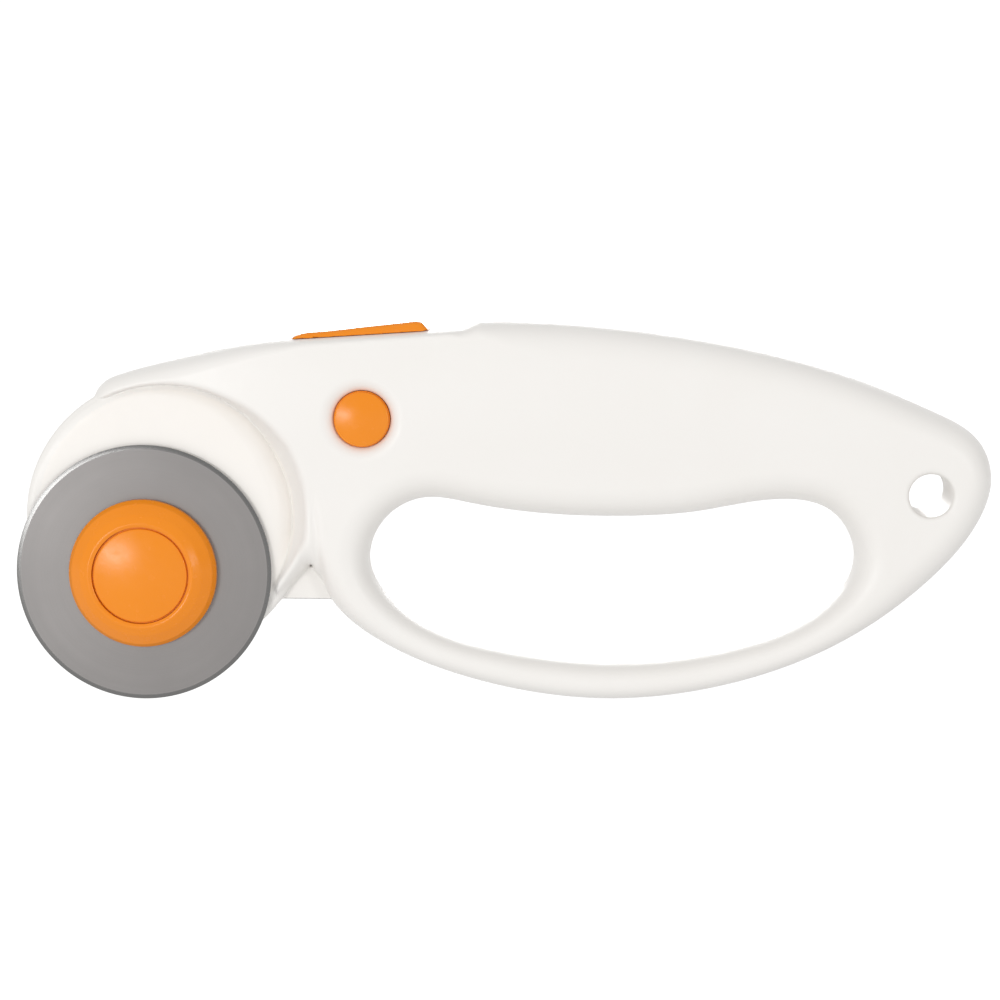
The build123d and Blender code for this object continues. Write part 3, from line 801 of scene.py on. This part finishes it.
def plated_steel(name, color, rough):
    """Bright plated or drawn steel for the small parts inside."""
    look = Look(name, color, rough, 1.0)
    streak = look.node("Mapping", {"Vector": look.place, "Scale": (1, 6, 1)}).outputs["Vector"]
    grain = look.noise(900, 3, vector=streak)
    look.rough(look.spread(grain, rough - 0.06, rough + 0.1))
    look.bump(grain, 0.12, 0.00003)
    dark = tuple(c * 0.85 for c in color)
    look.color(look.mix(look.spread(look.noise(120, 2), 0, 1), (*color, 1), (*dark, 1)))
    return look.material


WHITE = moulded_plastic("shell_white", (0.885, 0.862, 0.83), (0.875, 0.850, 0.815), 0.40, 2600)
# Lighter copy of the shell white for the round head's face: painted light, same plastic.
HEAD_WHITE_PAINTED_LIGHT = moulded_plastic("guard_white_painted_light", (0.915, 0.88, 0.835), (0.90, 0.865, 0.82), 0.42, 2600)
ORANGE = moulded_plastic(
    "button_orange", (0.90, 0.272, 0.008), (0.87, 0.255, 0.006), 0.23, 3000, Specular_IOR_Level=0.3
)
DARK = moulded_plastic("acetal_dark", (0.03, 0.03, 0.033), (0.02, 0.02, 0.022), 0.45, 2400)
BLADE_STEEL = ground_steel("blade_steel", (0.268, 0.256, 0.25), 0.52, BLADE * MM, 0.12)
# Darker copy of the blade steel for the ground bevel: the darker colour is painted shade, the lower roughness is
# the ground finish.
BLADE_EDGE_PAINTED_SHADE = ground_steel("blade_edge_painted_shade", (0.17, 0.168, 0.165), 0.26, BLADE * MM, 0.02)
PLATED = plated_steel("steel_plated", (0.60, 0.60, 0.61), 0.3)
SPRING = plated_steel("spring_steel", (0.42, 0.42, 0.44), 0.26)

# ---- the pieces -----------------------------------------------------------------------

for make, body, slot, node, *materials in (
    (make_front, "housing", "shell_white", "front_shell", WHITE, HEAD_WHITE_PAINTED_LIGHT),
    (make_back, "housing", "shell_white", "back_shell", WHITE, HEAD_WHITE_PAINTED_LIGHT),
    (make_slider, "slider", "button_orange", "thumb_slider", ORANGE),
    (make_hub_ring, "carriage", "button_orange", "hub_ring", ORANGE),
    (make_hub_button, "hub_cap", "button_orange", "hub_button", ORANGE),
    (make_lock_button, "lock", "button_orange", "lock_button_front", ORANGE),
    (make_lock_back, "lock", "button_orange", "lock_button_back", ORANGE),
    (make_blade, "blade_disc", "blade_steel", "blade", BLADE_STEEL, BLADE_EDGE_PAINTED_SHADE),
):
    piece = make()
    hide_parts(node)
    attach(piece, body)
    for material in materials:
        piece.data.materials.append(material)

SLOT_LOOK = {"steel_plated": PLATED, "spring_steel": SPRING, "acetal_dark": DARK}
for entry in frame["record"]["subparts"]:
    look = SLOT_LOOK.get(entry["material_slot"])
    if look:
        for material_slot in frame["nodes"][entry["node"]].material_slots:
            material_slot.material = look

# ---- camera, floor and light ----------------------------------------------------------

VIEW_TURN, VIEW_RISE, VIEW_ROLL = 1.9, 6.6, 0.33
VIEW_DISTANCE = 0.640
VIEW_CENTRE = Vector((-0.8, PARTING, 47.05)) * MM
LENS, SENSOR = 97.9, 36
FLOOR_REACH, FLOOR_BEND, WALL_HEIGHT = 3.0, 0.6, 2.4
FLOOR_GLOW = 1.0
WORLD_GLOW = 0.68
WORLD_LEAN = (-0.08, -0.16, 0.10)
LIGHT_AIM = Vector((0, 0, 0.045))


def make_camera():
    """Camera at the photograph's angle, a little to the right of the tool and above it."""
    azimuth, elevation, roll = (math.radians(v) for v in (VIEW_TURN, VIEW_RISE, VIEW_ROLL))
    level = math.cos(elevation)
    back = Vector((math.sin(azimuth) * level, -math.cos(azimuth) * level, math.sin(elevation)))
    data = bpy.data.cameras.new("camera")
    data.lens, data.sensor_width = LENS, SENSOR
    data.clip_start, data.clip_end = 0.01, 20
    camera = bpy.data.objects.new("camera", data)
    bpy.context.scene.collection.objects.link(camera)
    turn = (-back).to_track_quat("-Z", "Y").to_matrix() @ Matrix.Rotation(roll, 3, "Z")
    camera.matrix_world = Matrix.Translation(VIEW_CENTRE + back * VIEW_DISTANCE) @ turn.to_4x4()
    bpy.context.scene.camera = camera


def make_stage():
    """White sweep: a floor that curves up into a wall behind the tool."""
    reach, bend, steps = FLOOR_REACH, FLOOR_BEND, 12
    line = [(-reach, 0.0), (reach - bend, 0.0)]
    for k in range(1, steps + 1):
        turn = math.radians(90 * k / steps)
        line.append((reach - bend + bend * math.sin(turn), bend - bend * math.cos(turn)))
    line.append((reach, WALL_HEIGHT))
    points = [(x, y, z) for y, z in line for x in (-reach, reach)]
    faces = [(2 * i, 2 * i + 1, 2 * i + 3, 2 * i + 2) for i in range(len(line) - 1)]
    mesh = bpy.data.meshes.new("sweep")
    mesh.from_pydata(points, [], faces)
    mesh.polygons.foreach_set("use_smooth", [True] * len(faces))
    sweep = bpy.data.objects.new("sweep", mesh)
    bpy.context.scene.collection.objects.link(sweep)
    glow = {"Emission_Color": (1, 1, 1, 1), "Emission_Strength": FLOOR_GLOW}
    look = Look("sweep_white", (0.05, 0.05, 0.05), 0.9, **glow)
    mesh.materials.append(look.material)
    sweep.visible_diffuse = False


def make_world():
    """White room, brighter on the side that the light comes from."""
    world = bpy.data.worlds.new("studio")
    world.use_nodes = True
    nodes, links = world.node_tree.nodes, world.node_tree.links
    place = nodes.new("ShaderNodeTexCoord")
    lean = nodes.new("ShaderNodeVectorMath")
    lean.operation = "DOT_PRODUCT"
    lean.inputs[1].default_value = WORLD_LEAN
    level = nodes.new("ShaderNodeMath")
    level.operation = "ADD"
    level.inputs[1].default_value = WORLD_GLOW
    links.new(place.outputs["Generated"], lean.inputs[0])
    links.new(lean.outputs["Value"], level.inputs[0])
    links.new(level.outputs["Value"], nodes["Background"].inputs["Strength"])
    nodes["Background"].inputs["Color"].default_value = (1, 1, 1, 1)
    bpy.context.scene.world = world


def area_light(name, azimuth, elevation, distance, size, power):
    """Soft panel aimed at the tool. Azimuth 0 is the camera's side, positive to the right."""
    a, e = math.radians(azimuth), math.radians(elevation)
    way = Vector((math.sin(a) * math.cos(e), -math.cos(a) * math.cos(e), math.sin(e)))
    data = bpy.data.lights.new(name, "AREA")
    data.shape = "RECTANGLE"
    data.size, data.size_y = size
    data.energy = power
    lamp = bpy.data.objects.new(name, data)
    bpy.context.scene.collection.objects.link(lamp)
    lamp.visible_camera = False
    lamp.location = LIGHT_AIM + way * distance
    lamp.rotation_euler = (-way).to_track_quat("-Z", "Y").to_euler()


make_camera()
make_stage()
make_world()
area_light("key", -28, 2, 0.75, (0.2, 0.12), 1.02)
area_light("side", 37, 7, 1.0, (0.14, 0.18), 0.95)
area_light("fill from behind", 180, 12, 1.3, (0.6, 0.4), 5.0)
bpy.context.scene.view_settings.view_transform = "Standard"
